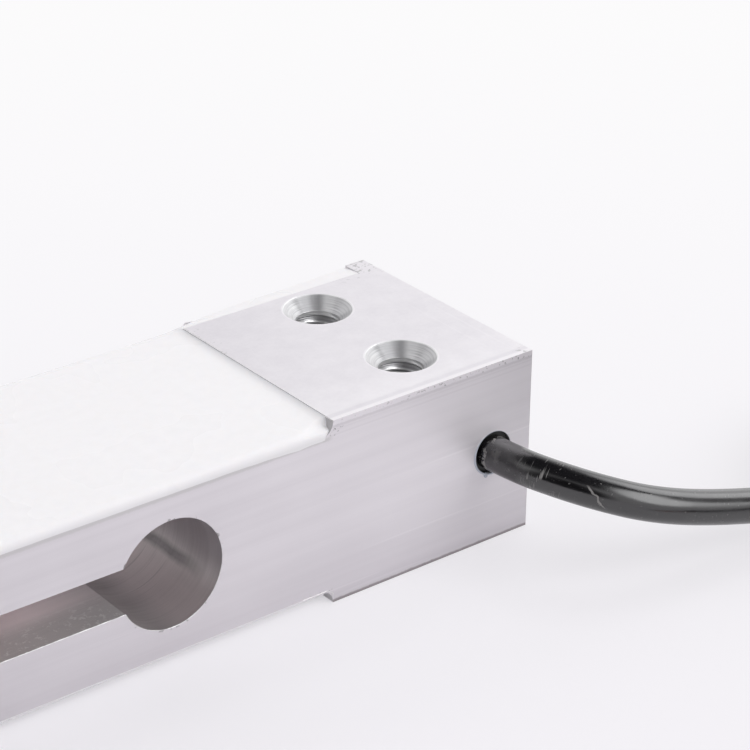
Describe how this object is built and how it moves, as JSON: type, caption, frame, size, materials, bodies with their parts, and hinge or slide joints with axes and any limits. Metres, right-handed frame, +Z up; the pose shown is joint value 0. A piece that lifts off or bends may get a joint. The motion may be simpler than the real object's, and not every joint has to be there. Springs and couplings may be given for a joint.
{
  "type": "single point load cell",
  "caption": "Bar-shaped load cell with a two-bore flexure, white potted gauge recesses, tapped countersunk end holes and a black cable from one side.",
  "frame": {"origin": "middle of the beam's underside", "axes": "+X along the beam towards the cable end, +Z up; the cable leaves through the side that faces -Y"},
  "size_m": [0.2025, 0.079, 0.022],
  "materials": {
    "aluminium": "fine milled and drawn surface, satin",
    "silicone": "white silicone sealant, glossy",
    "gauge": "amber film with folded metal foil",
    "board": "glass-filled laminate with solder mask",
    "solder": "bright solder",
    "copper": "bare and enamelled copper wire",
    "resistor": "ceramic chip with a black coat",
    "red": "red wire insulation",
    "black": "black wire insulation",
    "green": "green wire insulation",
    "white": "white wire insulation",
    "jacket": "black soft PVC jacket, satin gloss",
    "sealant": "black sealant in the cable hole",
    "sleeve": "black shrink sleeve",
    "nylon": "black nylon tie"
  },
  "bodies": {
    "root": {"beam": "aluminium", "top_potting": "silicone", "bottom_potting": "silicone", "gauge_top_cable_end": "gauge", "gauge_top_free_end": "gauge", "gauge_bottom_cable_end": "gauge", "gauge_bottom_free_end": "gauge", "terminal_board_top": "board", "terminal_board_bottom": "board", "trim_resistors": "resistor", "gauge_leads_top": "copper", "gauge_leads_bottom": "copper", "link_wires": "copper", "core_strands": "copper", "solder_joints_top": "solder", "solder_joints_bottom": "solder", "inner_core_red": "red", "inner_core_black": "black", "inner_core_green": "green", "inner_core_white": "white", "cable_inside": "jacket", "cable_seal": "sealant", "cable": "jacket", "cable_coil": "jacket", "cable_tie": "nylon", "cable_tail": "jacket", "end_sleeve": "sleeve", "free_core_red": "red", "free_core_black": "black", "shield_wire": "copper", "free_core_green": "green", "free_core_white": "white", "core_tips": "solder"}
  },
  "joints": []
}
